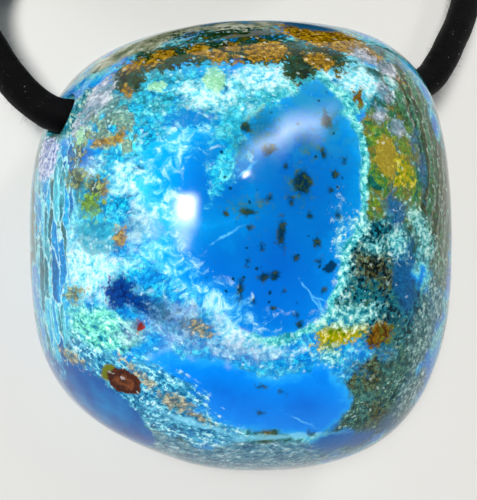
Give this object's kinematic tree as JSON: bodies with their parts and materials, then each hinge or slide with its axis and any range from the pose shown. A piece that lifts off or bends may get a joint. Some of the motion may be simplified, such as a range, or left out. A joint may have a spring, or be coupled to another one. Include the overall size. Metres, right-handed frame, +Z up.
{
  "type": "chrysocolla pebble pendant",
  "caption": "Drilled, polished chrysocolla pebble lying on its back, threaded on a round leather cord whose length is coiled, tied and knotted.",
  "frame": {"origin": "on the surface the pebble rests on, under the middle of the pebble's box; the cord and its coil are left out of that box", "axes": "+Z up, out of the pebble's polished front; +Y towards the end with the bore; +X to the right of someone who looks down on the front with the bore end away from them"},
  "size_m": [0.0365, 0.0574, 0.0186],
  "materials": {
    "polished_chrysocolla": "high gloss, mottled blue, turquoise, green and ochre",
    "black_leather": "dull, fibrous"
  },
  "bodies": {
    "root": {"chrysocolla_pebble": "polished_chrysocolla", "leather_cord": "black_leather", "cord_coil": "black_leather", "cord_knot": "black_leather", "cord_tie": "black_leather"}
  },
  "joints": []
}
